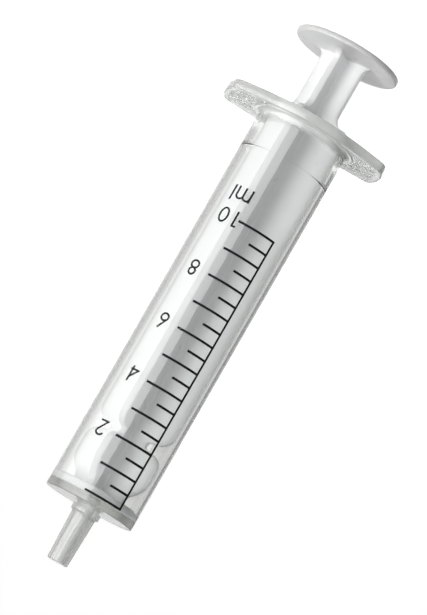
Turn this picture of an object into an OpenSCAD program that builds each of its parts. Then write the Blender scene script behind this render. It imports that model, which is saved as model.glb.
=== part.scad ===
// A two-piece ten millilitre syringe with a printed scale, its plunger pushed fully in.
// It stands on its thumb rest with the nozzle up. Lengths are in millimetres, and the
// origin is the middle of the thumb rest's outer face. The long way of the finger
// flange is X, and the scale faces -Y.

/* [Barrel] */
// Inner diameter of the barrel, where the piston runs
bore_d = 15.4; // [13:0.1:18]
// Wall of the barrel at its closed end
end_side_wall = 0.78; // [0.6:0.02:1.2]
// Wall of the barrel at its open end
open_side_wall = 0.99; // [0.8:0.02:1.4]
// Length of the barrel from its closed end face to the flange's outer face
barrel_length = 78.1; // [75:0.1:90]
// Thickness of the wall that closes the barrel round the nozzle
end_wall = 1.5; // [1:0.1:3]
// How far inside the open end the bead lies that keeps the piston in
bead_depth = 8.6; // [6:0.2:12]
// How far that bead stands out of the bore
bead_h = 0.08; // [0.04:0.01:0.1]

/* [Finger flange] */
// Length of the flange over both wings
flange_length = 31.7; // [29:0.1:38]
// Thickness of the flange
flange_t = 1.75; // [1.4:0.05:3]
// Diameter of the round middle of the flange
flange_d = 23.2; // [21.6:0.1:25]
// Width of a wing where it leaves the round middle
wing_root_w = 18.8; // [15:0.1:20]
// Width of a wing at its end
wing_end_w = 12.5; // [9:0.1:14]
// Width of the straight middle of a wing's end, beside which the end falls back
wing_end_flat = 3.6; // [2:0.1:6]
// Radius of the corners of a wing
wing_corner_r = 2; // [1:0.1:3]
// Angle by which the wings bend towards the nozzle, outside the barrel's wall
wing_bend = 3.1; // [0:0.1:6]
// Radius of the fillet between the barrel and the flange
root_fillet = 0.8; // [0.4:0.1:1.2]
// Plain border round the grip panel under each wing
panel_border = 0.9; // [0.6:0.1:1.4]
// Depth of the grip panel
panel_depth = 0.2; // [0.1:0.05:0.4]
// Distance from one grip stud to the next
stud_pitch = 0.9; // [0.8:0.05:1.4]
// Width of a grip stud across its corners
stud_w = 0.62; // [0.4:0.02:0.7]
// How far a grip stud stands out of the panel's floor
stud_h = 0.25; // [0.15:0.05:0.4]

/* [Nozzle] */
// Length of the nozzle from the closed end face to its tip
nozzle_length = 11; // [9:0.1:13]
// Diameter of the nozzle at its tip
nozzle_tip_d = 3.95; // [3.7:0.01:4.2]
// How much wider the nozzle gets for each unit of length
nozzle_taper = 0.06; // [0.05:0.005:0.07]
// Diameter of the passage through the nozzle
passage_d = 1.8; // [1.2:0.1:2.4]
// Diameter of the plain neck under the collar
neck_d = 4.43; // [4:0.01:4.6]
// Length of that neck
neck_length = 0.4; // [0.2:0.05:0.8]
// Diameter of the collar round the nozzle
collar_d = 5.4; // [5:0.1:7]
// Height of the collar
collar_h = 1.2; // [0.8:0.05:2]
// Radius of the rounded tip edge
tip_edge = 0.3; // [0.1:0.05:0.5]

/* [Plunger] */
// Diameter of the thumb rest
thumb_d = 20.3; // [16:0.1:24]
// Thickness of the thumb rest
thumb_t = 1; // [0.8:0.05:2]
// Thickness of the four ribs
rib_t = 1.25; // [0.9:0.05:1.8]
// Radial gap between the ribs and the bore
rib_gap = 0.15; // [0.12:0.01:0.4]
// Width across the waist, the narrow ribs outside the barrel
waist_d = 8.6; // [7:0.1:11]
// Gap between the thumb rest's outer face and the flange's outer face
waist_length = 15; // [14:0.1:22]
// Fillet between the ribs and the thumb rest
thumb_fillet = 1.75; // [1:0.05:2.4]
// How far the ribs are turned from the long way of the flange
rib_turn = 26; // [0:1:45]
// Height of the piston's rim, which seals against the bore
piston_h = 1.45; // [1:0.05:2.5]
// Radial running clearance between the piston's rim and the bore
seal_gap = 0.02; // [0.01:0.005:0.05]
// Gap between the piston and the end wall when the plunger is fully in
piston_gap = 0.1; // [0.05:0.01:0.3]
// Depth of the hollow in the piston's front, which lets its lip bend
lip_depth = 0.6; // [0.3:0.05:0.9]
// Thickness of the lip at its edge
lip_t = 0.35; // [0.2:0.05:0.8]
// Distance from the piston's face back to the notch in the ribs
notch_back = 12.65; // [11:0.05:16]
// Width across the ribs at the bottom of the notch
notch_d = 7.5; // [6:0.1:10]
// Width of the notch's floor along the ribs
notch_floor_w = 1.1; // [0.6:0.05:2]
// Width across the ribs where they meet the piston
head_d = 10.4; // [8:0.1:12]

/* [Scale] */
// Distance from one whole millilitre mark to the next
ml_pitch = 5.37; // [5:0.01:5.4]
// Distance of the zero mark from the closed end face
zero_back = 1.8; // [1.6:0.1:3]
// Thickness of the ink
ink_t = 0.05; // [0.03:0.01:0.1]
// Width of a mark's line
mark_w = 0.43; // [0.2:0.01:0.6]
// Width of the long line that joins the marks
spine_w = 0.4; // [0.2:0.01:0.6]
// Angle round the barrel at which the long line stands
spine_angle = -121.8; // [-125:0.1:-115]
// Angle round the barrel that a whole mark covers
whole_sweep = 49.5; // [40:0.1:55]
// Angle round the barrel that a half mark covers
half_sweep = 26; // [15:0.1:35]
// Angle round the barrel from the long line to the middle of the numerals
numeral_sweep = 70.2; // [60:0.1:80]
// Width of a numeral over its strokes
numeral_w = 1.86; // [1.4:0.02:2.2]
// Height of a numeral over its strokes
numeral_h = 3; // [2.4:0.05:3.4]
// Width of the strokes of numerals and letters
stroke_w = 0.35; // [0.2:0.01:0.4]
// Gap between the end of the last mark and the stem of the one in the numeral 10
one_gap = 0.56; // [0.4:0.02:0.8]
// Height of the small letter m
letter_h = 2.45; // [2:0.05:2.8]
// Width of the small letter m
letter_w = 3.06; // [2.6:0.02:3.2]
// Gap between the two letters of the unit
letter_gap = 0.55; // [0.3:0.05:0.8]
// Distance from the last mark down to the foot of the unit's letters
unit_drop = 5.9; // [4.8:0.1:7]
// Angle round the barrel from the long line to the middle of the letter m
unit_sweep = 59.8; // [50:0.1:65]

/* [Hidden] */
$fn = 96;

// One overrun serves every cut
overrun = 1;

// Volume at the last mark, in millilitres, which the numeral there also says
capacity = 10;

// Heights, measured up from the thumb rest's outer face
open_z = waist_length;
flange_top_z = open_z + flange_t;
end_z = open_z + barrel_length;
chamber_z = end_z - end_wall;
tip_z = end_z + nozzle_length;
bead_z = open_z + bead_depth;
piston_z = chamber_z - piston_gap;
piston_back_z = piston_z - piston_h;
zero_z = end_z - zero_back;
last_z = zero_z - capacity * ml_pitch;
unit_z = last_z - unit_drop;

// Radii
bore_r = bore_d / 2;
open_r = bore_r + open_side_wall;
end_r = bore_r + end_side_wall;
rib_r = bore_r - rib_gap;
waist_r = waist_d / 2;
notch_r = notch_d / 2;
head_r = head_d / 2;
piston_r = bore_r - seal_gap;
tip_r = nozzle_tip_d / 2;

// Small forms, each a share of the size that carries it
end_chamfer = 0.25 * end_side_wall;
thumb_chamfer = 0.15 * thumb_t;
collar_chamfer = 0.25 * collar_h;
bead_ring_r = 0.4 * open_side_wall;
rib_step = rib_r - waist_r;
shoulder_r = 0.7 * rib_step;
shoulder_edge_r = 0.28 * rib_step;
// The ribs step out to their full width just short of the flange's outer face
shoulder_z = open_z - 0.525 * rib_step;
notch_depth = rib_r - notch_r;
// The sides of the notch lean outwards, less on the thumb side than on the piston side
notch_run_shares = [0.14, 0.21];
notch_z = piston_z - notch_back;
notch_corner_r = 0.65 * notch_depth;
notch_floor_r = 0.5 * notch_floor_w;
notch_low_z = notch_z - notch_floor_w / 2;
notch_high_z = notch_z + notch_floor_w / 2;
// The ribs draw in again towards the piston over the end of their length
draw_in_shares = [0.385, 0.237];
draw_in_z = piston_z - draw_in_shares[0] * notch_back;
head_z = piston_z - draw_in_shares[1] * notch_back;
draw_in_r = 0.356 * notch_back;
wing_root_x = sqrt(pow(flange_d / 2, 2) - pow(wing_root_w / 2, 2));
wing_x = flange_length / 2;
// How far a wing's end falls back for each unit of width beside its straight middle
end_lean = 0.16;
panel_inner_r = open_r + root_fillet + panel_border / 2;

// Points on an arc of a round corner
corner_steps = 8;
// Points on a full ellipse of a numeral
ellipse_steps = 40;

// Radius of the barrel's outside at a height
function skin_r(z) = open_r + (end_r - open_r) * (z - open_z) / (end_z - open_z);

// An angle round the barrel for a distance along its outside
function turn(distance, z) = distance / skin_r(z) * 180 / PI;

// The arc that rounds corner b of a, b, c, or the corner itself where its radius is zero
function unit(v) = v / norm(v);
function rounded_corner(a, b, c, r) =
    r == 0 ? [b] :
    let (to_a = unit(a - b), to_c = unit(c - b),
         half = acos(to_a * to_c) / 2,
         reach = r / tan(half),
         centre = b + unit(to_a + to_c) * r / sin(half),
         from = b + to_a * reach - centre,
         to = b + to_c * reach - centre,
         sweep = 180 - 2 * half,
         side = from[0] * to[1] - from[1] * to[0] > 0 ? 1 : -1)
    [for (i = [0:corner_steps])
        let (t = side * sweep * i / corner_steps)
        centre + [from[0] * cos(t) - from[1] * sin(t), from[0] * sin(t) + from[1] * cos(t)]];

// An outline through corners [x, y, radius]
function rounded_outline(corners) =
    let (n = len(corners), p = [for (c = corners) [c[0], c[1]]])
    [for (i = [0:n - 1])
        each rounded_corner(p[(i + n - 1) % n], p[i], p[(i + 1) % n], corners[i][2])];

function mirrored(corners) =
    [for (i = [len(corners) - 1:-1:0]) [-corners[i][0], corners[i][1], corners[i][2]]];

// Barrel

// Half the width of a wing at a distance from the axis
function wing_half(x) =
    wing_root_w / 2 + (wing_end_w - wing_root_w) / 2 * (x - wing_root_x) / (wing_x - wing_root_x);

// How far a wing's end has fallen back at its corners
end_fall = end_lean * (wing_end_w - wing_end_flat) / 2;

module wing_outline(border) {
    end_x = wing_x - border;
    corner_x = end_x - end_fall;
    corner = max(wing_corner_r - border, 0.25 * wing_corner_r);
    polygon(rounded_outline([
        [0, -wing_half(0) + border, 0],
        [corner_x, -wing_half(corner_x) + border, corner],
        [end_x, -wing_end_flat / 2, wing_end_flat],
        [end_x, wing_end_flat / 2, wing_end_flat],
        [corner_x, wing_half(corner_x) - border, corner],
        [0, wing_half(0) - border, 0]]));
}

// How far the bent wings lie above the plain flange at a distance from the axis
function bend_rise(x) = max(x - open_r, 0) * tan(wing_bend);

// A layer of the bent flange, between two heights over the flange's outer face
module bent_layer(low, high) {
    reach = wing_x + overrun;
    rotate([90, 0, 0])
        linear_extrude(2 * reach, center = true)
            polygon([
                [-reach, open_z + low + bend_rise(reach)],
                [-open_r, open_z + low],
                [open_r, open_z + low],
                [reach, open_z + low + bend_rise(reach)],
                [reach, open_z + high + bend_rise(reach)],
                [open_r, open_z + high],
                [-open_r, open_z + high],
                [-reach, open_z + high + bend_rise(reach)]]);
}

module flange_outline() {
    circle(d = flange_d);
    for (side = [0, 1])
        mirror([side, 0])
            intersection() {
                wing_outline(0);
                translate([wing_root_x / 2, -flange_length / 2])
                    square([flange_length, flange_length]);
            }
}

module panel_outline() {
    difference() {
        wing_outline(panel_border);
        circle(r = panel_inner_r);
    }
}

module grip_studs() {
    columns = floor((wing_x - panel_inner_r) / stud_pitch);
    rows = floor(wing_root_w / stud_pitch / 2);
    for (i = [0:columns], j = [-rows:rows]) {
        x = wing_x - panel_border - stud_w * 0.75 - i * stud_pitch;
        y = (j + (i % 2) / 2) * stud_pitch;
        inside = abs(y) < wing_half(x) - panel_border - stud_w * 0.6;
        clear_of_tube = norm([x, y]) > panel_inner_r + stud_w * 0.6;
        end_x = wing_x - end_lean * max(abs(y) - wing_end_flat / 2, 0);
        off_end = x < end_x - panel_border - stud_w * 0.6;
        off_corner = norm([x, y] - [wing_x, sign(y) * wing_half(wing_x)]) > wing_corner_r + stud_w * 0.6;
        if (inside && clear_of_tube && off_end && off_corner)
            translate([x, y, flange_top_z - panel_depth - stud_h + bend_rise(x)])
                cylinder(d = stud_w, h = 2 * stud_h, $fn = 4);
    }
}

module flange() {
    slab_h = flange_t + bend_rise(wing_x) + 2 * overrun;
    difference() {
        intersection() {
            translate([0, 0, open_z - overrun])
                linear_extrude(slab_h)
                    flange_outline();
            bent_layer(0, flange_t);
        }
        for (side = [0, 1])
            mirror([side, 0])
                intersection() {
                    translate([0, 0, open_z])
                        linear_extrude(slab_h)
                            panel_outline();
                    bent_layer(flange_t - panel_depth, flange_t + overrun);
                }
    }
    for (side = [0, 1])
        mirror([side, 0])
            grip_studs();
    // The concave fillet on the side of the fingers
    rotate_extrude()
        translate([skin_r(flange_top_z), flange_top_z])
            difference() {
                translate([-open_side_wall / 2, -flange_t / 2])
                    square([root_fillet + open_side_wall / 2, root_fillet + flange_t / 2]);
                translate([root_fillet, root_fillet])
                    circle(r = root_fillet);
            }
}

module nozzle() {
    collar_z = end_z + neck_length;
    collar_top_z = collar_z + collar_h;
    collar_r = collar_d / 2;
    cone_r = tip_r + nozzle_taper / 2 * (tip_z - collar_top_z);
    tip_angles = [for (i = [0:corner_steps]) 90 * i / corner_steps];
    rotate_extrude()
        polygon(concat(
            [[0, end_z - end_wall / 2],
             [neck_d / 2, end_z - end_wall / 2],
             [neck_d / 2, collar_z],
             [collar_r, collar_z],
             [collar_r, collar_top_z - collar_chamfer],
             [collar_r - collar_chamfer, collar_top_z],
             [cone_r, collar_top_z]],
            [for (a = tip_angles)
                [tip_r - tip_edge + tip_edge * cos(a), tip_z - tip_edge + tip_edge * sin(a)]],
            [[0, tip_z]]));
}

module tube() {
    rotate_extrude()
        polygon([
            [0, open_z],
            [open_r, open_z],
            [skin_r(end_z - end_chamfer), end_z - end_chamfer],
            [end_r - end_chamfer, end_z],
            [0, end_z]]);
}

module retaining_bead() {
    rotate_extrude()
        translate([bore_r - bead_h + bead_ring_r, bead_z])
            circle(r = bead_ring_r, $fn = 32);
}

module barrel() {
    color([0.87, 0.9, 0.9, 0.45]) {
        difference() {
            union() {
                tube();
                flange();
                nozzle();
            }
            translate([0, 0, open_z - overrun])
                cylinder(r = bore_r, h = chamber_z - open_z + overrun);
            translate([0, 0, chamber_z - overrun])
                cylinder(d = passage_d, h = tip_z - chamber_z + 2 * overrun);
        }
        retaining_bead();
    }
}

// Plunger

// One side of a rib, from the thumb rest up to the piston
rib_corners = [
    [waist_r + thumb_fillet, thumb_t / 2, 0],
    [waist_r + thumb_fillet, thumb_t, 0],
    [waist_r, thumb_t, thumb_fillet],
    [waist_r, shoulder_z, shoulder_r],
    [rib_r, shoulder_z, shoulder_edge_r],
    [rib_r, notch_low_z - notch_run_shares[0] * notch_depth, notch_corner_r],
    [notch_r, notch_low_z, notch_floor_r],
    [notch_r, notch_high_z, notch_floor_r],
    [rib_r, notch_high_z + notch_run_shares[1] * notch_depth, notch_corner_r],
    [rib_r, draw_in_z, draw_in_r],
    [head_r, head_z, draw_in_r / 3],
    [head_r, piston_back_z + piston_h / 4, 0]];

module rib_pair() {
    rotate([90, 0, 0])
        linear_extrude(rib_t, center = true)
            polygon(rounded_outline(concat(rib_corners, mirrored(rib_corners))));
}

module thumb_rest() {
    thumb_r = thumb_d / 2;
    rotate_extrude()
        polygon([
            [0, 0],
            [thumb_r - thumb_chamfer, 0],
            [thumb_r, thumb_chamfer],
            [thumb_r, thumb_t - thumb_chamfer],
            [thumb_r - thumb_chamfer, thumb_t],
            [0, thumb_t]]);
}

module piston() {
    rotate_extrude()
        polygon([
            [0, piston_back_z],
            [piston_r - lip_t, piston_back_z],
            [piston_r, piston_back_z + lip_t],
            [piston_r, piston_z],
            [piston_r - lip_t, piston_z],
            [piston_r - 2 * lip_t, piston_z - lip_depth],
            [0, piston_z - lip_depth]]);
}

module plunger() {
    color([0.93, 0.95, 0.96]) {
        thumb_rest();
        for (quarter = [0, 90])
            rotate([0, 0, rib_turn + quarter])
                rib_pair();
        piston();
    }
}

// Printed scale

module mark(z, sweep) {
    start = turn(spine_w / 2, z);
    low = z - mark_w / 2;
    high = z + mark_w / 2;
    rotate([0, 0, spine_angle + start])
        rotate_extrude(angle = sweep - start)
            polygon([
                [skin_r(low), low],
                [skin_r(low) + ink_t, low],
                [skin_r(high) + ink_t, high],
                [skin_r(high), high]]);
}

module scale_spine_line() {
    low = last_z - mark_w / 2;
    high = zero_z + mark_w / 2;
    width = turn(spine_w, (low + high) / 2);
    color("black")
        rotate([0, 0, spine_angle - width / 2])
            rotate_extrude(angle = width)
                polygon([
                    [skin_r(low), low],
                    [skin_r(low) + ink_t, low],
                    [skin_r(high) + ink_t, high],
                    [skin_r(high), high]]);
}

module whole_ml_lines() {
    color("black")
        for (i = [0:capacity])
            mark(zero_z - i * ml_pitch, whole_sweep);
}

module half_ml_lines() {
    color("black")
        for (i = [0:capacity - 1])
            mark(zero_z - (i + 0.5) * ml_pitch, half_sweep);
}

// A stroke of even width along a path of points
function stroke_side(path, side) =
    let (n = len(path))
    [for (i = [0:n - 1])
        let (before = i > 0 ? unit(path[i] - path[i - 1]) : unit(path[1] - path[0]),
             after = i < n - 1 ? unit(path[i + 1] - path[i]) : unit(path[n - 1] - path[n - 2]),
             along = unit(before + after),
             mitre = 1 / max(along * after, 0.5))
        path[i] + side * stroke_w / 2 * mitre * [-along[1], along[0]]];

function reversed(list) = [for (i = [len(list) - 1:-1:0]) list[i]];

module stroke(path) {
    polygon(concat(stroke_side(path, 1), reversed(stroke_side(path, -1))));
}

function arc(centre, rx, ry, from, to) =
    let (steps = ceil(abs(to - from) / 360 * ellipse_steps))
    [for (i = [0:steps])
        let (a = from + (to - from) * i / steps)
        centre + [rx * cos(a), ry * sin(a)]];

module ellipse(centre, rx, ry) {
    translate(centre)
        polygon([for (i = [0:ellipse_steps - 1])
            let (a = 360 * i / ellipse_steps)
            [rx * cos(a), ry * sin(a)]]);
}

module oval(centre, rx, ry) {
    difference() {
        ellipse(centre, rx + stroke_w / 2, ry + stroke_w / 2);
        ellipse(centre, rx - stroke_w / 2, ry - stroke_w / 2);
    }
}

// Half the width and height of a numeral, to the middle of its strokes
half_w = (numeral_w - stroke_w) / 2;
half_h = (numeral_h - stroke_w) / 2;

// Takes a flat figure, whose origin goes to this height and angle, onto the barrel's skin
module printed(z, angle) {
    reach = numeral_h + letter_h;
    low = z - reach;
    high = z + reach;
    color("black")
        intersection() {
            rotate_extrude()
                polygon([
                    [skin_r(low), low],
                    [skin_r(low) + ink_t, low],
                    [skin_r(high) + ink_t, high],
                    [skin_r(high), high]]);
            rotate([0, 0, angle])
                translate([bore_r / 2, 0, z])
                    rotate([90, 0, 90])
                        linear_extrude(bore_r)
                            children();
        }
}

numeral_angle = spine_angle + numeral_sweep;

module numeral_2() {
    bowl_h = 0.44 * half_h;
    printed(zero_z - 2 * ml_pitch, numeral_angle)
        stroke(concat(
            arc([0, half_h - bowl_h], 0.96 * half_w, bowl_h, 172, -28),
            [[-half_w, -half_h], [half_w, -half_h]]));
}

module numeral_4() {
    stem_x = 0.5 * half_w;
    bar_y = -0.62 * half_h;
    left_x = -1.15 * half_w;
    printed(zero_z - 4 * ml_pitch, numeral_angle) {
        stroke([[stem_x * 1.2, numeral_h / 2], [stem_x, -numeral_h / 2]]);
        stroke([[stem_x, half_h * 0.5], [left_x, bar_y], [half_w * 1.1, bar_y]]);
    }
}

module numeral_6() {
    bowl_h = 0.5 * half_h;
    bowl_y = bowl_h - half_h;
    tail_x = 0.68 * half_w;
    // The tail leaves the bowl's outline at 150 degrees and comes back to it at 101
    printed(zero_z - 6 * ml_pitch, numeral_angle)
        difference() {
            polygon(concat(
                arc([0, bowl_y], half_w + stroke_w / 2, bowl_h + stroke_w / 2, 150, 461),
                [[tail_x + 0.42 * stroke_w, numeral_h / 2 - 0.27 * stroke_w],
                 [tail_x - 0.42 * stroke_w, numeral_h / 2 + 0.27 * stroke_w]]));
            ellipse([0, bowl_y], half_w - stroke_w / 2, bowl_h - stroke_w / 2);
        }
}

module numeral_8() {
    low_h = 0.52 * half_h;
    high_h = half_h - low_h;
    printed(zero_z - 8 * ml_pitch, numeral_angle) {
        oval([0, low_h - half_h], half_w, low_h);
        oval([0, half_h - high_h], 0.84 * half_w, high_h);
    }
}

module numeral_10() {
    one_angle = spine_angle + whole_sweep + turn(one_gap + stroke_w / 2, last_z);
    printed(last_z, numeral_angle)
        oval([0, 0], half_w * 1.08, half_h);
    printed(last_z, one_angle)
        stroke([[-0.95 * half_w, 0.93 * half_h], [0, half_h], [0, -numeral_h / 2]]);
}

module unit_ml() {
    arch_w = (letter_w - stroke_w) / 2;
    arch_r = arch_w / 2;
    arch_y = letter_h - stroke_w / 2 - arch_r;
    m_angle = spine_angle + unit_sweep;
    l_angle = m_angle + turn((letter_w + stroke_w) / 2 + letter_gap, unit_z);
    printed(unit_z, m_angle) {
        stroke([[-arch_w, 0], [-arch_w, letter_h]]);
        for (i = [0, 1])
            stroke(concat(
                arc([arch_w * (i - 0.5), arch_y], arch_r, arch_r, 180, 0),
                [[arch_w * i, 0]]));
    }
    printed(unit_z, l_angle)
        stroke([[0, 0], [0, numeral_h]]);
}

barrel();
plunger();
scale_spine_line();
whole_ml_lines();
half_ml_lines();
numeral_2();
numeral_4();
numeral_6();
numeral_8();
numeral_10();
unit_ml();
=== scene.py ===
import math
import random

import bmesh
import bpy
import numpy as np
from mathutils import Matrix, Vector


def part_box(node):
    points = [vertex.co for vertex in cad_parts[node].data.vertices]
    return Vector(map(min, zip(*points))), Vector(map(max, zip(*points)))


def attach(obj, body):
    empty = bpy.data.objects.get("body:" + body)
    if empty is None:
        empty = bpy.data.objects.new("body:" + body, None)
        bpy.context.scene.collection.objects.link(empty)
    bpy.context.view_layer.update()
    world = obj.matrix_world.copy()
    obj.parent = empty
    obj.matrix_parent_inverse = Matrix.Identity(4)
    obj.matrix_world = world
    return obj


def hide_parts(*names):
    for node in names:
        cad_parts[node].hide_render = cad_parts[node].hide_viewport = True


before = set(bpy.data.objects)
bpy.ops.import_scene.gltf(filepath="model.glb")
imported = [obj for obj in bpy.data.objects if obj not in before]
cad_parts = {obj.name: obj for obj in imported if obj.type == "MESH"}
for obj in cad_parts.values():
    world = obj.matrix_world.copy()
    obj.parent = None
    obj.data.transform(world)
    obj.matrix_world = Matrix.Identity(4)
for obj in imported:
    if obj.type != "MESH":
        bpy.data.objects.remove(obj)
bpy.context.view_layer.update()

# Lengths below are in millimetres and become metres where a mesh, lamp or material is made
MM = 0.001


def extent(node):
    """Lowest and highest point of a node along the syringe, and its reach along X."""
    low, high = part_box(node)
    return low.z / MM, high.z / MM, high.x / MM


OPEN_Z, TIP_Z, WING_X = extent("barrel")
PISTON_Z, THUMB_R = extent("plunger")[1:]

# Barrel
BORE_R = 7.7
OPEN_R = 8.69
END_R = 8.48
NOZZLE_LENGTH = 11
END_WALL = 1.5
END_Z = TIP_Z - NOZZLE_LENGTH
END_EDGE = 0.26
CHAMBER_Z = END_Z - END_WALL
CHAMBER_EDGE = 0.08
BORE_EDGE = 0.25
BEAD_FROM_MOUTH = 8.6
BEAD_Z = OPEN_Z + BEAD_FROM_MOUTH
BEAD_H = 0.08
BEAD_RING_R = 0.4 * (OPEN_R - BORE_R)

# Finger flange
FLANGE_T = 1.75
FLANGE_TOP = OPEN_Z + FLANGE_T
FLANGE_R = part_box("barrel")[1].y / MM
ROOT_FILLET = 0.8
RIM_EDGE = 0.3
WING_ROOT = 9.4
WING_END = 6.25
WING_END_FLAT = 3.6
END_LEAN = 0.16
WING_CORNER = 2
WING_BLEND = 0.3
WING_BEND = math.tan(math.radians(3.1))
BEND_EASE = 0.8
WING_ROOT_X = math.sqrt(FLANGE_R**2 - WING_ROOT**2)
WING_SLOPE = (WING_END - WING_ROOT) / (WING_X - WING_ROOT_X)
WING_STRETCH = math.sqrt(1 + WING_SLOPE**2)

# Grip panels of the flange
PANEL_BORDER = 0.9
PANEL_DEPTH = 0.2
PANEL_SLOPE = 0.2
PANEL_INNER = OPEN_R + ROOT_FILLET + PANEL_BORDER / 2
STUD_PITCH = 0.9
STUD_W = 0.62
STUD_H = 0.22
STUD_MARGIN = STUD_W * 0.6
STUD_SCATTER = 0.12
STUD_ROUND = 1.4
STUD_SEED = 7

# Nozzle
NOZZLE_TIP_R = 1.975
NOZZLE_TAPER = 0.03
PASSAGE_R = 0.9
PASSAGE_EDGE = 0.2
NECK_R = 2.215
NECK_LENGTH = 0.4
COLLAR_R = 2.7
COLLAR_H = 1.2
COLLAR_Z = END_Z + NECK_LENGTH
COLLAR_TOP = COLLAR_Z + COLLAR_H
COLLAR_EDGE = 0.3
TIP_EDGE = 0.3
SMALL_EDGE = 0.12

# Plunger
THUMB_T = 1
THUMB_EDGE = 0.3
THUMB_FILLET = 1.75
WAIST_R = 4.3
RIB_T = 1.25
RIB_R = BORE_R - 0.15
RIB_TURN = 26
RIB_EDGE = 0.16
INNER_FILLET = 0.35
FOOT_FILLET = 0.3
HEAD_R = 5.2
NOTCH_BACK = 12.65
NOTCH_R = 3.75
NOTCH_FLOOR_W = 1.1

# Slopes and roundings of a rib's outer edge, as shares of the step that they belong to
SHOULDER_SLOPE = 0.525
SHOULDER_ROUND_IN = 0.7
SHOULDER_ROUND_OUT = 0.28
NOTCH_SLOPE_LOW = 0.14
NOTCH_SLOPE_HIGH = 0.21
NOTCH_ROUND = 0.65
DRAW_IN_START = 0.385
DRAW_IN_END = 0.237
DRAW_IN_ROUND = 0.356

# The piston's lip presses on the bore, so it is drawn touching it
PISTON_R = BORE_R + 0.01
PISTON_H = 1.45
BACK_Z = PISTON_Z - PISTON_H
LIP_DEPTH = 0.6
LIP_T = 0.35
LIP_EDGE = 0.1
HOLLOW_EDGE = 0.15

# Fineness of the meshes: numbers of points and rows, and heights of the tube's own rows
BARREL_COLUMNS = 640
FLANGE_ROWS = 54
FOOT_STEPS = 5
OUTER_ROWS = (80, 60, 40, 22)
INNER_ROWS = (40, 60, 80)
FLANK_SHARES = (0.02, 0.08, 0.2, 0.4, 0.6, 0.8)
FLANK_GAP = 0.07


def skin_r(z):
    """Radius of the tube's outside at a height."""
    return OPEN_R + (END_R - OPEN_R) * (z - OPEN_Z) / (END_Z - OPEN_Z)


def nozzle_r(z):
    """Radius of the nozzle's cone at a height."""
    return NOZZLE_TIP_R + NOZZLE_TAPER * (TIP_Z - z)


def arc(centre, radius, start, end, steps):
    """Points [radius, height] of a round corner between two angles in degrees."""
    angles = np.radians(np.linspace(start, end, steps + 1))
    return [(centre[0] + radius * math.cos(a), centre[1] + radius * math.sin(a)) for a in angles]


def rounded(corners):
    """A path through corners [x, y, radius], each rounded by its own radius."""
    path = []
    for i, (x, y, radius) in enumerate(corners):
        if radius == 0:
            path.append((x, y))
            continue
        here = np.array([x, y])
        to_a = np.array(corners[i - 1][:2]) - here
        to_c = np.array(corners[i + 1][:2]) - here
        to_a /= np.linalg.norm(to_a)
        to_c /= np.linalg.norm(to_c)
        half = math.acos(to_a @ to_c) / 2
        between_arms = to_a + to_c
        centre = here + between_arms / np.linalg.norm(between_arms) * radius / math.sin(half)
        start = here + to_a * radius / math.tan(half) - centre
        sweep = math.pi - 2 * half
        if to_a[0] * to_c[1] - to_a[1] * to_c[0] > 0:
            sweep = -sweep
        steps = max(5, int(abs(sweep) * 8))
        for k in range(steps + 1):
            t = sweep * k / steps
            turned = (
                start[0] * math.cos(t) - start[1] * math.sin(t),
                start[0] * math.sin(t) + start[1] * math.cos(t),
            )
            path.append((centre[0] + turned[0], centre[1] + turned[1]))
    return path


def filled(path, longest):
    """The path with points added so that no step is much over the longest one."""
    full = [path[0]]
    for point in path[1:]:
        start = full[-1]
        pieces = max(1, int(math.dist(start, point) / longest))
        for k in range(1, pieces + 1):
            full.append(tuple(start[i] + (point[i] - start[i]) * k / pieces for i in (0, 1)))
    return full


def full_turn(count, first=0.0):
    """Evenly spaced angles round the axis, in radians."""
    return first + 2 * math.pi * np.arange(count) / count


def ring(r, z, angles):
    """Points on a circle round the axis."""
    return np.column_stack([r * np.cos(angles), r * np.sin(angles), np.full(len(angles), float(z))])


def between(first, second, shares):
    """Rings that lie between two rings, each at its share of the way."""
    return [first * (1 - share) + second * share for share in shares]


def placed(name, data):
    """A new object in the scene."""
    piece = bpy.data.objects.new(name, data)
    bpy.context.scene.collection.objects.link(piece)
    return piece


def loft(name, rings, closed):
    """A mesh of quads through rings of points. Open ends are closed to a point on the axis."""
    columns = len(rings[0])
    points = np.vstack(rings)
    faces = []
    for i in range(len(rings) if closed else len(rings) - 1):
        a = i * columns
        b = (i + 1) % len(rings) * columns
        for j in range(columns):
            k = (j + 1) % columns
            faces.append((a + j, a + k, b + k, b + j))
    if not closed:
        first = len(points)
        points = np.vstack([points, rings[0].mean(0), rings[-1].mean(0)])
        b = (len(rings) - 1) * columns
        for j in range(columns):
            k = (j + 1) % columns
            faces.append((first, k, j))
            faces.append((first + 1, b + j, b + k))
    mesh = bpy.data.meshes.new(name)
    mesh.from_pydata((points * MM).tolist(), [], faces)
    solid = bmesh.new()
    solid.from_mesh(mesh)
    bmesh.ops.recalc_face_normals(solid, faces=solid.faces)
    solid.to_mesh(mesh)
    solid.free()
    mesh.shade_smooth()
    piece = placed(name, mesh)
    normals = piece.modifiers.new("normals", "WEIGHTED_NORMAL")
    normals.mode = "FACE_AREA"
    normals.weight = 60
    return piece


# Finger flange

def wing_half(x):
    """Half the width of a wing at a distance from the axis."""
    return WING_ROOT + WING_SLOPE * (x - WING_ROOT_X)


def wing_end_x(y):
    """How far out the leaning end of a wing lies at a distance from its middle line."""
    return WING_X - END_LEAN * np.maximum(np.abs(y) - WING_END_FLAT / 2, 0)


def wing_edge():
    """Directions and distances from the axis of points along a quarter of the wings' outline."""
    corner_x = wing_end_x(WING_END)
    path = rounded([
        (WING_X, 0, 0),
        (WING_X, WING_END_FLAT / 2, WING_END_FLAT),
        (corner_x, wing_half(corner_x), WING_CORNER),
        (WING_ROOT_X / 2, wing_half(WING_ROOT_X / 2), 0),
    ])
    x, y = np.array(filled(path, longest=0.2)).T
    return np.arctan2(y, x), np.hypot(x, y)


WING_DIRECTIONS, WING_REACH = wing_edge()


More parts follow.
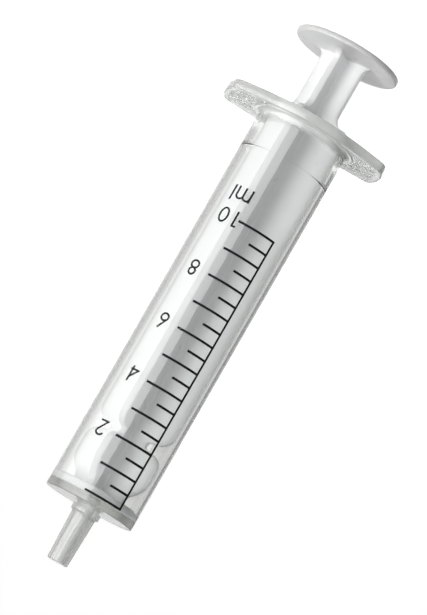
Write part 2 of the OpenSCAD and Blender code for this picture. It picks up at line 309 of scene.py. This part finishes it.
def outline_radius(angle):
    """Distance from the axis to the flange's outline in one direction."""
    here = math.atan2(abs(math.sin(angle)), abs(math.cos(angle)))
    wing = np.interp(here, WING_DIRECTIONS, WING_REACH)
    # A small fillet where the wing leaves the round middle
    share = max(WING_BLEND - abs(wing - FLANGE_R), 0) / WING_BLEND
    return max(wing, FLANGE_R) + share**2 * WING_BLEND / 4


def bend_rise(x):
    """How far the bent wings lie above the plain flange at a distance from the axis."""
    beyond = np.maximum(np.abs(x) - OPEN_R, 0)
    return WING_BEND * beyond**2 / (beyond + BEND_EASE)


def smooth_step(t):
    t = np.clip(t, 0, 1)
    return t * t * (3 - 2 * t)


def stud_places():
    """Middle, half width and height of each grip stud, with the small scatter of real ones."""
    scatter = random.Random(STUD_SEED)
    places = []
    rows = int(WING_ROOT / STUD_PITCH)
    for j in range(-rows, rows + 1):
        y = j * STUD_PITCH
        for i in range(int((WING_X - PANEL_INNER) / STUD_PITCH) + 2):
            x = WING_X - PANEL_BORDER - STUD_W * 0.75 - (i + (j % 2) / 2) * STUD_PITCH
            inside = abs(y) < wing_half(x) - PANEL_BORDER - STUD_MARGIN
            clear = math.hypot(x, y) > PANEL_INNER + STUD_MARGIN
            off_end = x < wing_end_x(y) - PANEL_BORDER - STUD_MARGIN
            from_corner = math.hypot(x - WING_X, abs(y) - wing_half(WING_X))
            off_corner = from_corner > WING_CORNER + STUD_MARGIN
            if inside and clear and off_end and off_corner:
                for side in (-1, 1):
                    places.append((
                        side * x + scatter.uniform(-STUD_SCATTER, STUD_SCATTER),
                        y + scatter.uniform(-STUD_SCATTER, STUD_SCATTER),
                        STUD_W * scatter.uniform(0.5, 0.66),
                        STUD_H * scatter.uniform(0.6, 1.0),
                    ))
    return places


def panel_height(x, y):
    """Height of the flange's finger side over its plain face: the sunk panels and their studs."""
    from_end = wing_end_x(y) - np.abs(x)
    from_edge = (wing_half(np.abs(x)) - np.abs(y)) / WING_STRETCH
    in_corner = WING_CORNER - np.hypot(WING_CORNER - from_end, WING_CORNER - from_edge)
    near_corner = (from_end < WING_CORNER) & (from_edge < WING_CORNER)
    inside = np.where(near_corner, in_corner, np.minimum(from_end, from_edge)) - PANEL_BORDER
    inside = np.minimum(inside, np.hypot(x, y) - PANEL_INNER)
    height = -PANEL_DEPTH * smooth_step(inside / PANEL_SLOPE)
    for stud_x, stud_y, half, tall in stud_places():
        across = np.abs(x - stud_x)
        along = np.abs(y - stud_y)
        # Between a square on its corner and a circle
        reach = (0.5 * (across + along) + 0.5 * np.hypot(across, along)) / half
        height = height + tall * np.clip(1 - reach**2, 0, 1) ** STUD_ROUND
    return height


def flange_rings(angles):
    """Rings from the tube's fillet over the finger side, round the rim and back to the bore."""
    circle = np.column_stack([np.cos(angles), np.sin(angles)])
    edge = np.array([outline_radius(a) for a in angles])[:, None] * circle
    tangent = np.roll(edge, -1, 0) - np.roll(edge, 1, 0)
    outward = np.column_stack([tangent[:, 1], -tangent[:, 0]])
    outward /= np.linalg.norm(outward, axis=1)[:, None]
    inner = (skin_r(FLANGE_TOP) + ROOT_FILLET) * circle
    rim_inner = edge - RIM_EDGE * outward
    mouth = (BORE_R + BORE_EDGE) * circle
    rings = []

    def flat(points, z):
        rings.append(np.column_stack([points, z + bend_rise(points[:, 0])]))

    for k in range(1, FLANGE_ROWS + 1):
        points = inner + (rim_inner - inner) * k / FLANGE_ROWS
        flat(points, FLANGE_TOP + panel_height(points[:, 0], points[:, 1]))
    for offset, z in arc((-RIM_EDGE, FLANGE_TOP - RIM_EDGE), RIM_EDGE, 90, 0, 6)[1:]:
        flat(edge + offset * outward, z)
    flat(edge, (OPEN_Z + FLANGE_TOP) / 2)
    for offset, z in arc((-RIM_EDGE, OPEN_Z + RIM_EDGE), RIM_EDGE, 0, -90, 6):
        flat(edge + offset * outward, z)
    for share in (0.04, 0.3, 0.7, 0.96):
        flat(rim_inner + (mouth - rim_inner) * share, OPEN_Z)
    return rings


# Barrel

def outer_path():
    """Points [radius, height] down the outside, from the tip's rim to the flange."""
    e = SMALL_EDGE
    fillet_x = skin_r(FLANGE_TOP) + ROOT_FILLET
    fillet_z = FLANGE_TOP + ROOT_FILLET
    path = arc((PASSAGE_R + e, TIP_Z - e), e, 180, 90, 4)
    path += arc((NOZZLE_TIP_R - TIP_EDGE, TIP_Z - TIP_EDGE), TIP_EDGE, 90, 2, 7)
    path += [(nozzle_r(z), z) for z in np.linspace(TIP_Z - 0.6, COLLAR_TOP + 0.5, 5)]
    path += arc((nozzle_r(COLLAR_TOP) + e, COLLAR_TOP + e), e, 180, 270, 4)
    path += arc((COLLAR_R - COLLAR_EDGE, COLLAR_TOP - COLLAR_EDGE), COLLAR_EDGE, 90, 0, 5)
    path += arc((COLLAR_R - e, COLLAR_Z + e), e, 0, -90, 4)
    path += arc((NECK_R + e, COLLAR_Z - e), e, 90, 180, 4)
    path += arc((NECK_R + e, END_Z + e), e, 180, 270, 4)
    path += [(r, END_Z) for r in np.linspace(NECK_R + 0.4, END_R - END_EDGE - 0.15, 5)]
    path += arc((END_R - END_EDGE, END_Z - END_EDGE), END_EDGE, 90, 1, 7)
    heights = (END_Z - 0.4, END_Z - 2, *OUTER_ROWS, fillet_z + 0.3)
    path += [(skin_r(z), z) for z in heights]
    path += arc((fillet_x, fillet_z), ROOT_FILLET, 180, 270, 10)
    return path


def inner_path():
    """Points [radius, height] up the inside, from the mouth of the bore to the tip."""
    half = math.degrees(math.acos((BEAD_RING_R - BEAD_H) / BEAD_RING_R))
    bead_middle = (BORE_R - BEAD_H + BEAD_RING_R, BEAD_Z)
    passage_corner = (PASSAGE_R + PASSAGE_EDGE, CHAMBER_Z + PASSAGE_EDGE)
    path = arc((BORE_R + BORE_EDGE, OPEN_Z + BORE_EDGE), BORE_EDGE, 270, 180, 6)
    path += [(BORE_R, OPEN_Z + 0.5), (BORE_R, BEAD_Z - 0.6)]
    path += arc(bead_middle, BEAD_RING_R, 180 + half, 180 - half, 8)
    heights = (BEAD_Z + 0.6, *INNER_ROWS, CHAMBER_Z - 2, CHAMBER_Z - 0.3)
    path += [(BORE_R, z) for z in heights]
    path += arc((BORE_R - CHAMBER_EDGE, CHAMBER_Z - CHAMBER_EDGE), CHAMBER_EDGE, 0, 90, 3)
    path += [(r, CHAMBER_Z) for r in (BORE_R - 0.3, 5, 3, PASSAGE_R + 0.5)]
    path += arc(passage_corner, PASSAGE_EDGE, -90, -180, 5)
    heights = (CHAMBER_Z + 0.6, END_Z, COLLAR_TOP, TIP_Z - 4, TIP_Z - 0.4)
    path += [(PASSAGE_R, z) for z in heights]
    return path


def make_barrel():
    angles = full_turn(BARREL_COLUMNS)
    rings = [ring(r, z, angles) for r, z in outer_path()]
    rings += flange_rings(angles)
    rings += [ring(r, z, angles) for r, z in inner_path()]
    return loft("barrel_moulding", rings, closed=True)


# Plunger

def rib_outline():
    """Points [distance from the axis, height] up a rib's outer edge to the piston."""
    step = RIB_R - WAIST_R
    shoulder_z = OPEN_Z - SHOULDER_SLOPE * step
    depth = RIB_R - NOTCH_R
    low_z = PISTON_Z - NOTCH_BACK - NOTCH_FLOOR_W / 2
    high_z = low_z + NOTCH_FLOOR_W
    draw_in = DRAW_IN_ROUND * NOTCH_BACK
    waist_z = THUMB_T + THUMB_FILLET
    path = arc((WAIST_R + THUMB_FILLET, waist_z), THUMB_FILLET, 270, 180, 14)[:-1]
    path += rounded([
        (WAIST_R, waist_z, 0),
        (WAIST_R, shoulder_z, SHOULDER_ROUND_IN * step),
        (RIB_R, shoulder_z, SHOULDER_ROUND_OUT * step),
        (RIB_R, low_z - NOTCH_SLOPE_LOW * depth, NOTCH_ROUND * depth),
        (NOTCH_R, low_z, NOTCH_FLOOR_W / 2),
        (NOTCH_R, high_z, NOTCH_FLOOR_W / 2),
        (RIB_R, high_z + NOTCH_SLOPE_HIGH * depth, NOTCH_ROUND * depth),
        (RIB_R, PISTON_Z - DRAW_IN_START * NOTCH_BACK, draw_in),
        (HEAD_R, PISTON_Z - DRAW_IN_END * NOTCH_BACK, draw_in / 3),
        (HEAD_R, BACK_Z - FOOT_FILLET, 0),
    ])
    # The small fillet at the piston
    for k in range(1, FOOT_STEPS + 1):
        below = FOOT_FILLET * (1 - math.sin(math.radians(90 * k / FOOT_STEPS)))
        path.append((HEAD_R, BACK_Z - below))
    return filled(path, longest=6)


def foot_flare(z):
    """How much a rib grows on each side where it meets the thumb rest or the piston."""
    near = min(z - THUMB_T, BACK_Z - z)
    if near >= FOOT_FILLET:
        return 0
    return FOOT_FILLET - math.sqrt(FOOT_FILLET**2 - (FOOT_FILLET - max(near, 0)) ** 2)


def rib_ring(point, before, after):
    """One ring of points round the cross of four ribs, at one point of their outer edge."""
    r, z = point
    flare = foot_flare(z)
    half = RIB_T / 2 + flare
    root = half + INNER_FILLET
    tangent = np.array(after) - np.array(before)
    outward = np.array([tangent[1], -tangent[0]]) / np.linalg.norm(tangent)
    if z < THUMB_T + THUMB_FILLET or z > BACK_Z - FOOT_FILLET:
        outward = np.array([1.0, 0.0])
    if z > PISTON_Z / 2:
        r = r + flare

    def from_edge(inward, across):
        """A point some way in from the outer edge, at a distance from the rib's middle plane."""
        return r - outward[0] * inward, across, z - outward[1] * inward

    flank_end = from_edge(RIB_EDGE + FLANK_GAP, half)
    side = [(root, half, z)]
    for share in FLANK_SHARES:
        side.append((root + (flank_end[0] - root) * share, half, z + (flank_end[2] - z) * share))
    side.append(flank_end)
    for t in (90, 67.5, 45, 22.5, 0):
        a = math.radians(t)
        side.append(from_edge(RIB_EDGE * (1 - math.cos(a)), half - RIB_EDGE * (1 - math.sin(a))))
    side.append(from_edge(0, (half - RIB_EDGE) / 3))
    arm = [(a, -b, c) for a, b, c in side] + side[::-1]
    for t in (255, 240, 225, 210, 195):
        a = math.radians(t)
        arm.append((root + INNER_FILLET * math.cos(a), root + INNER_FILLET * math.sin(a), z))
    arm = np.array(arm)
    parts = []
    for quarter in range(4):
        turned = math.radians(RIB_TURN + 90 * quarter)
        parts.append(np.column_stack([
            arm[:, 0] * math.cos(turned) - arm[:, 1] * math.sin(turned),
            arm[:, 0] * math.sin(turned) + arm[:, 1] * math.cos(turned),
            arm[:, 2],
        ]))
    return np.vstack(parts)


def make_plunger():
    path = rib_outline()
    last = len(path) - 1
    ribs = []
    for i, point in enumerate(path):
        ribs.append(rib_ring(point, path[max(i - 1, 0)], path[min(i + 1, last)]))
    angles = full_turn(len(ribs[0]), first=math.atan2(ribs[0][0][1], ribs[0][0][0]))
    e = THUMB_EDGE
    disc = [(r, 0) for r in (0.6, 3, 6, 9, THUMB_R - e - 0.15)]
    disc += arc((THUMB_R - e, e), e, -90, 0, 6)
    disc += arc((THUMB_R - e, THUMB_T - e), e, 0, 90, 6)
    disc += [(THUMB_R - e - 0.15, THUMB_T), (THUMB_R - e - 0.6, THUMB_T)]
    e = LIP_EDGE
    back_r = PISTON_R - LIP_T - 0.12
    hollow_r = PISTON_R - 2 * LIP_T
    hollow_z = PISTON_Z - LIP_DEPTH
    piston = [(back_r, BACK_Z)]
    piston += arc((PISTON_R - LIP_T, BACK_Z + LIP_T), LIP_T, -90, 0, 6)
    piston += arc((PISTON_R - e, PISTON_Z - e), e, 0, 90, 4)
    piston += arc((PISTON_R - LIP_T + e, PISTON_Z - e), e, 90, 160, 3)
    piston += arc((hollow_r - 0.1, hollow_z + HOLLOW_EDGE), HOLLOW_EDGE, -20, -90, 4)
    piston += [(r, hollow_z) for r in (hollow_r - 0.4, 5, 3, 0.6)]
    rings = [ring(r, z, angles) for r, z in disc]
    rings += between(rings[-1], ribs[0], (0.3, 0.6, 0.85, 0.97))
    rings += ribs
    rings += between(ribs[-1], ring(back_r, BACK_Z, angles), (0.03, 0.15, 0.45, 0.75))
    rings += [ring(r, z, angles) for r, z in piston]
    return loft("plunger_moulding", rings, closed=False)


barrel = make_barrel()
plunger = make_plunger()

# Materials

def new_shader(name):
    material = bpy.data.materials.new(name)
    material.use_nodes = True
    tree = material.node_tree
    tree.nodes.clear()
    return material, tree, tree.nodes.new("ShaderNodeOutputMaterial")


def principled(tree, **values):
    node = tree.nodes.new("ShaderNodeBsdfPrincipled")
    for socket, value in values.items():
        node.inputs[socket.replace("_", " ")].default_value = value
    return node


def noise(tree, scale, detail=3.0, stretch=(1, 1, 1)):
    """Noise in the object's own space. A scale of 1000 has features about a millimetre wide."""
    place = tree.nodes.new("ShaderNodeTexCoord")
    mapping = tree.nodes.new("ShaderNodeMapping")
    mapping.inputs["Scale"].default_value = stretch
    texture = tree.nodes.new("ShaderNodeTexNoise")
    texture.inputs["Scale"].default_value = scale
    texture.inputs["Detail"].default_value = detail
    tree.links.new(place.outputs["Object"], mapping.inputs["Vector"])
    tree.links.new(mapping.outputs["Vector"], texture.inputs["Vector"])
    return texture.outputs["Fac"]


def bump(tree, height, distance):
    node = tree.nodes.new("ShaderNodeBump")
    node.inputs["Distance"].default_value = distance * MM
    tree.links.new(height, node.inputs["Height"])
    return node.outputs["Normal"]


def blend_colours(tree, factor, first, second):
    """A mix of two colours. The numbers are the mix node's sockets for colours."""
    node = tree.nodes.new("ShaderNodeMix")
    node.data_type = "RGBA"
    node.inputs[6].default_value = (*first, 1)
    node.inputs[7].default_value = (*second, 1)
    tree.links.new(factor, node.inputs[0])
    return node.outputs[2]


def mapped(tree, value, low, high, start=0.0, end=1.0, interpolation="LINEAR"):
    """Maps the values from start to end onto the range from low to high."""
    node = tree.nodes.new("ShaderNodeMapRange")
    node.interpolation_type = interpolation
    node.inputs["From Min"].default_value = start
    node.inputs["From Max"].default_value = end
    node.inputs["To Min"].default_value = low
    node.inputs["To Max"].default_value = high
    tree.links.new(value, node.inputs["Value"])
    return node.outputs["Result"]


def spread(tree, value, low, high):
    """Maps a noise's middle range onto a range of values."""
    return mapped(tree, value, low, high, 0.3, 0.7)


def ramp(tree, length, start, end, low, high):
    """Goes smoothly from one value to another between two lengths in millimetres."""
    return mapped(tree, length, low, high, start * MM, end * MM, "SMOOTHSTEP")


def combined(tree, *values, operation="ADD"):
    """Values added up, or joined by another operation, and held between 0 and 1."""
    total = values[0]
    for value in values[1:]:
        node = tree.nodes.new("ShaderNodeMath")
        node.operation = operation
        node.use_clamp = True
        tree.links.new(total, node.inputs[0])
        if isinstance(value, (int, float)):
            node.inputs[1].default_value = value
        else:
            tree.links.new(value, node.inputs[1])
        total = node.outputs[0]
    return total


def thick_parts(tree):
    """1 in the flange, in the end wall with the nozzle, and in the end wall's edge, in turn.

    The last marks where painted shade darkens the plastic's colour. It is partly on in the nozzle
    too, and all three are 0 in the tube.
    """
    place = tree.nodes.new("ShaderNodeTexCoord")
    parts = tree.nodes.new("ShaderNodeSeparateXYZ")
    tree.links.new(place.outputs["Object"], parts.inputs[0])
    z = parts.outputs["Z"]
    at_flange = ramp(tree, z, FLANGE_TOP + 0.5, FLANGE_TOP + 1.6, 1, 0)
    at_end = ramp(tree, z, CHAMBER_Z - 0.2, CHAMBER_Z + 0.2, 0, 1)
    level = tree.nodes.new("ShaderNodeCombineXYZ")
    tree.links.new(parts.outputs["X"], level.inputs["X"])
    tree.links.new(parts.outputs["Y"], level.inputs["Y"])
    from_axis = tree.nodes.new("ShaderNodeVectorMath")
    from_axis.operation = "LENGTH"
    tree.links.new(level.outputs[0], from_axis.inputs[0])
    outside = ramp(tree, from_axis.outputs["Value"], END_R - 0.5, END_R - 0.2, 0, 1)
    at_nozzle = ramp(tree, z, END_Z, COLLAR_Z, 0, 0.5)
    painted_shade_at_edge = combined(tree, at_end, outside, operation="MULTIPLY")
    return at_flange, at_end, combined(tree, painted_shade_at_edge, at_nozzle)


def clear_plastic():
    """Clear polypropylene, hazier where it is thick, with painted shade as a darker grey at the end
    wall's edge and partly on the nozzle. Lamps shine through it without bending.
    """
    material, tree, output = new_shader("clear_polypropylene")
    body = principled(tree, IOR=1.49, Specular_IOR_Level=0.5)
    at_flange, at_end, painted_shade_at_edge = thick_parts(tree)
    # Painted shade: the base colour turns a darker grey at the end wall's edge and partly on the
    # nozzle
    colour = blend_colours(tree, painted_shade_at_edge, (0.97, 0.975, 0.97), (0.68, 0.685, 0.675))
    tree.links.new(colour, body.inputs["Base Color"])
    clearness = combined(
        tree,
        mapped(tree, at_flange, 0.97, 0.6),
        mapped(tree, at_end, 0, -0.19),
    )
    tree.links.new(clearness, body.inputs["Transmission Weight"])
    roughness = combined(
        tree,
        spread(tree, noise(tree, 350), 0.02, 0.04),
        mapped(tree, at_flange, 0, 0.05),
        mapped(tree, at_end, 0, 0.18),
    )
    tree.links.new(roughness, body.inputs["Roughness"])
    tree.links.new(bump(tree, noise(tree, 260, 2.0, (1, 1, 0.25)), 0.001), body.inputs["Normal"])
    clear = tree.nodes.new("ShaderNodeBsdfTransparent")
    clear.inputs["Color"].default_value = (0.95, 0.96, 0.96, 1)
    path = tree.nodes.new("ShaderNodeLightPath")
    from_lamps = combined(tree, path.outputs["Is Shadow Ray"], path.outputs["Is Diffuse Ray"])
    mix = tree.nodes.new("ShaderNodeMixShader")
    tree.links.new(from_lamps, mix.inputs[0])
    tree.links.new(body.outputs[0], mix.inputs[1])
    tree.links.new(clear.outputs[0], mix.inputs[2])
    tree.links.new(mix.outputs[0], output.inputs["Surface"])
    volume = tree.nodes.new("ShaderNodeVolumeAbsorption")
    volume.inputs["Color"].default_value = (0.9, 0.903, 0.89, 1)
    volume.inputs["Density"].default_value = 300
    tree.links.new(volume.outputs[0], output.inputs["Volume"])
    return material


def milky_plastic():
    """Milky translucent polypropylene with a satin moulded surface."""
    material, tree, output = new_shader("milky_polypropylene")
    body = principled(
        tree,
        IOR=1.49,
        Subsurface_Weight=1.0,
        Subsurface_Radius=(1.0, 1.0, 1.03),
        Subsurface_Scale=2.6 * MM,
        Subsurface_Anisotropy=0.2,
    )
    body.subsurface_method = "RANDOM_WALK"
    clouds = spread(tree, noise(tree, 180), 0, 1)
    colour = blend_colours(tree, clouds, (0.895, 0.9, 0.903), (0.935, 0.94, 0.943))
    tree.links.new(colour, body.inputs["Base Color"])
    tree.links.new(spread(tree, noise(tree, 500), 0.26, 0.4), body.inputs["Roughness"])
    tree.links.new(bump(tree, noise(tree, 1500, 4.0), 0.006), body.inputs["Normal"])
    tree.links.new(body.outputs[0], output.inputs["Surface"])
    return material


def printing_ink():
    """Matt black ink with the faint mottle of a printed film."""
    material, tree, output = new_shader("printing_ink")
    body = principled(tree, IOR=1.45, Specular_IOR_Level=0.15)
    mottle = spread(tree, noise(tree, 2500, 4.0), 0, 1)
    colour = blend_colours(tree, mottle, (0.006, 0.006, 0.007), (0.016, 0.016, 0.018))
    tree.links.new(colour, body.inputs["Base Color"])
    tree.links.new(spread(tree, noise(tree, 1800), 0.5, 0.7), body.inputs["Roughness"])
    tree.links.new(bump(tree, noise(tree, 3000, 3.0), 0.004), body.inputs["Normal"])
    tree.links.new(body.outputs[0], output.inputs["Surface"])
    return material


# Each moulding gets its material, rides on the body of the same name and stands in for the node of
# that name, which is hidden
for piece, material, name in (
    (barrel, clear_plastic(), "barrel"),
    (plunger, milky_plastic(), "plunger"),
):
    piece.data.materials.append(material)
    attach(piece, name)
    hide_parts(name)

ink = printing_ink()
for name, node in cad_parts.items():
    if name not in ("barrel", "plunger"):
        for place in node.material_slots:
            place.material = ink

# Camera

CAMERA_TURN = 3.5
CAMERA_PLACE = Vector((-1.576, -536.18, 133.5)) * MM
CAMERA_DOWN = 8.674
CAMERA_ROLL = 150.14
CAMERA_LENS = 180.557

turn = Matrix.Rotation(math.radians(CAMERA_TURN), 3, "Z")
down = math.radians(CAMERA_DOWN)
roll = math.radians(CAMERA_ROLL)
forward = Vector((0, math.cos(down), -math.sin(down)))
level_up = Vector((0, math.sin(down), math.cos(down)))
up = level_up * math.cos(roll) + Vector((1, 0, 0)) * math.sin(roll)
right = forward.cross(up)
camera_data = bpy.data.cameras.new("camera")
camera_data.lens = CAMERA_LENS
camera_data.sensor_width = 36
camera_data.clip_start = 0.05
camera_data.clip_end = 30
camera = placed("camera", camera_data)
axes = turn @ Matrix((right, up, -forward)).transposed()
camera.matrix_world = Matrix.Translation(turn @ CAMERA_PLACE) @ axes.to_4x4()
bpy.context.scene.camera = camera

# The camera's direction as an angle round the axis, from which lamps and cards are placed
CAMERA_ANGLE = math.degrees(math.atan2(camera.location.y, camera.location.x))


def around(angle, distance, height):
    """A place at an angle to the left of the camera's direction, seen from the axis."""
    a = math.radians(CAMERA_ANGLE + angle)
    return Vector((distance * math.cos(a), distance * math.sin(a), height)) * MM


# Light

AMBIENT = 0.05
MIDDLE = Vector((0, 0, 50)) * MM
LAMP_DISTANCE = 650
LAMP_Z = 200
LAMP_HEIGHT = 600
ABOVE_Z = 700
ABOVE_SIZE = 300


def seen(tree):
    """1 for what the camera sees, directly, mirrored or through plastic, 0 for other light."""
    path = tree.nodes.new("ShaderNodeLightPath")
    rays = [path.outputs["Is " + kind + " Ray"] for kind in ("Camera", "Glossy", "Transmission")]
    first = combined(tree, path.outputs["Diffuse Depth"], 0.5, operation="LESS_THAN")
    return combined(tree, combined(tree, *rays), first, operation="MULTIPLY")


world = bpy.data.worlds.new("studio")
bpy.context.scene.world = world
world.use_nodes = True
sky_tree = world.node_tree
sky_tree.nodes.clear()
sky = sky_tree.nodes.new("ShaderNodeBackground")
sky.inputs["Color"].default_value = (1, 1, 1, 1)
sky_output = sky_tree.nodes.new("ShaderNodeOutputWorld")
sky_tree.links.new(mapped(sky_tree, seen(sky_tree), AMBIENT, 1), sky.inputs["Strength"])
sky_tree.links.new(sky.outputs[0], sky_output.inputs["Surface"])


def softbox(name, place, width, height, level):
    """A lamp aimed at the syringe that gives a white surface facing it this level."""
    data = bpy.data.lights.new(name, "AREA")
    data.shape = "RECTANGLE"
    data.size = width * MM
    data.size_y = height * MM
    lamp = placed(name, data)
    away = MIDDLE - place
    data.energy = level * math.pi**2 * away.length_squared
    lamp.location = place
    lamp.rotation_mode = "QUATERNION"
    lamp.rotation_quaternion = away.to_track_quat("-Z", "Y")
    lamp.visible_glossy = False
    lamp.visible_transmission = False


for name, angle, width, level in (
    ("near_camera", 20, 400, 0.42),
    ("front_left", 44, 240, 0.79),
    ("back_left", 120, 400, 0.08),
    ("back", 180, 400, 0.15),
    ("back_right", -160, 400, 0.47),
):
    softbox(name, around(angle, LAMP_DISTANCE, LAMP_Z), width, LAMP_HEIGHT, level)
softbox("above", Vector((0, 0, ABOVE_Z)) * MM, ABOVE_SIZE, ABOVE_SIZE, 0.14)

# Cards round the syringe, which reach past the barrel at the end of its travel
CARD_TOP = 180
CARD_STEP = 3
MIRRORED_R = 97
BEHIND_R = 96


def card(name, levels, distance, behind_glass):
    """An upright curved card round the syringe, which only mirrored and bent rays see.

    levels pairs angles to the left of the camera's direction with the card's brightness there.
    Rays that have passed through the clear plastic see the card only with behind_glass.
    """
    points = []
    glows = []
    for (start, low), (end, high) in zip(levels, levels[1:]):
        steps = max(1, int(abs(end - start) / CARD_STEP))
        for k in range(steps + 1):
            angle = start + (end - start) * k / steps
            points.append(around(angle, distance, 0)[:])
            points.append(around(angle, distance, CARD_TOP)[:])
            glows += 2 * [low + (high - low) * k / steps]
    faces = [(k, k + 2, k + 3, k + 1) for k in range(0, len(points) - 2, 2)]
    mesh = bpy.data.meshes.new(name)
    mesh.from_pydata(points, [], faces)
    glow_at = mesh.attributes.new("glow", "FLOAT", "POINT")
    glow_at.data.foreach_set("value", glows)
    piece = placed(name, mesh)
    material, tree, output = new_shader(name)
    brightness = tree.nodes.new("ShaderNodeAttribute")
    brightness.attribute_name = "glow"
    glow = tree.nodes.new("ShaderNodeEmission")
    tree.links.new(brightness.outputs["Fac"], glow.inputs["Strength"])
    tree.links.new(glow.outputs[0], output.inputs["Surface"])
    material.cycles.emission_sampling = "NONE"
    mesh.materials.append(material)
    piece.visible_camera = False
    piece.visible_diffuse = False
    piece.visible_shadow = False
    piece.visible_transmission = behind_glass


card(
    "mirrored_room",
    [(-140, 0.2), (11.1, 0.2), (11.3, 6.2), (80, 5), (100, 1.5), (138, 0.8)],
    MIRRORED_R,
    False,
)
card(
    "room_behind_left",
    [
        (174, 1), (163, 1), (157, 0.85), (152, 0.5), (146, 0.55),
        (132, 0.7), (124, 0.65), (116, 1), (100, 1),
    ],
    BEHIND_R,
    True,
)
card(
    "room_behind_right",
    [
        (-174, 0.8), (-166, 0.7), (-157, 0.6), (-152, 0.3), (-145, 0.08),
        (-137, 0.7), (-120, 0.9), (-112, 0.7), (-100, 0.7),
    ],
    BEHIND_R,
    True,
)

# Floor

FLOOR_R = 6000
FLOOR_Z = -0.05
FLOOR_SIDES = 128
FLOOR_GLOW = 0.98
FLOOR_SHADE = 0.3

floor_mesh = bpy.data.meshes.new("floor")
floor_points = ring(FLOOR_R, FLOOR_Z, full_turn(FLOOR_SIDES)) * MM
floor_mesh.from_pydata(floor_points.tolist(), [], [tuple(range(FLOOR_SIDES))])
floor = placed("floor", floor_mesh)
floor_material, floor_tree, floor_output = new_shader("floor")
matt = floor_tree.nodes.new("ShaderNodeBsdfDiffuse")
matt.inputs["Color"].default_value = (FLOOR_SHADE, FLOOR_SHADE, FLOOR_SHADE, 1)
glow = floor_tree.nodes.new("ShaderNodeEmission")
floor_light = mapped(floor_tree, seen(floor_tree), 0, FLOOR_GLOW)
floor_tree.links.new(floor_light, glow.inputs["Strength"])
both = floor_tree.nodes.new("ShaderNodeAddShader")
floor_tree.links.new(matt.outputs[0], both.inputs[0])
floor_tree.links.new(glow.outputs[0], both.inputs[1])
floor_tree.links.new(both.outputs[0], floor_output.inputs["Surface"])
floor_material.cycles.emission_sampling = "NONE"
floor_mesh.materials.append(floor_material)

bpy.context.scene.view_settings.view_transform = "Standard"
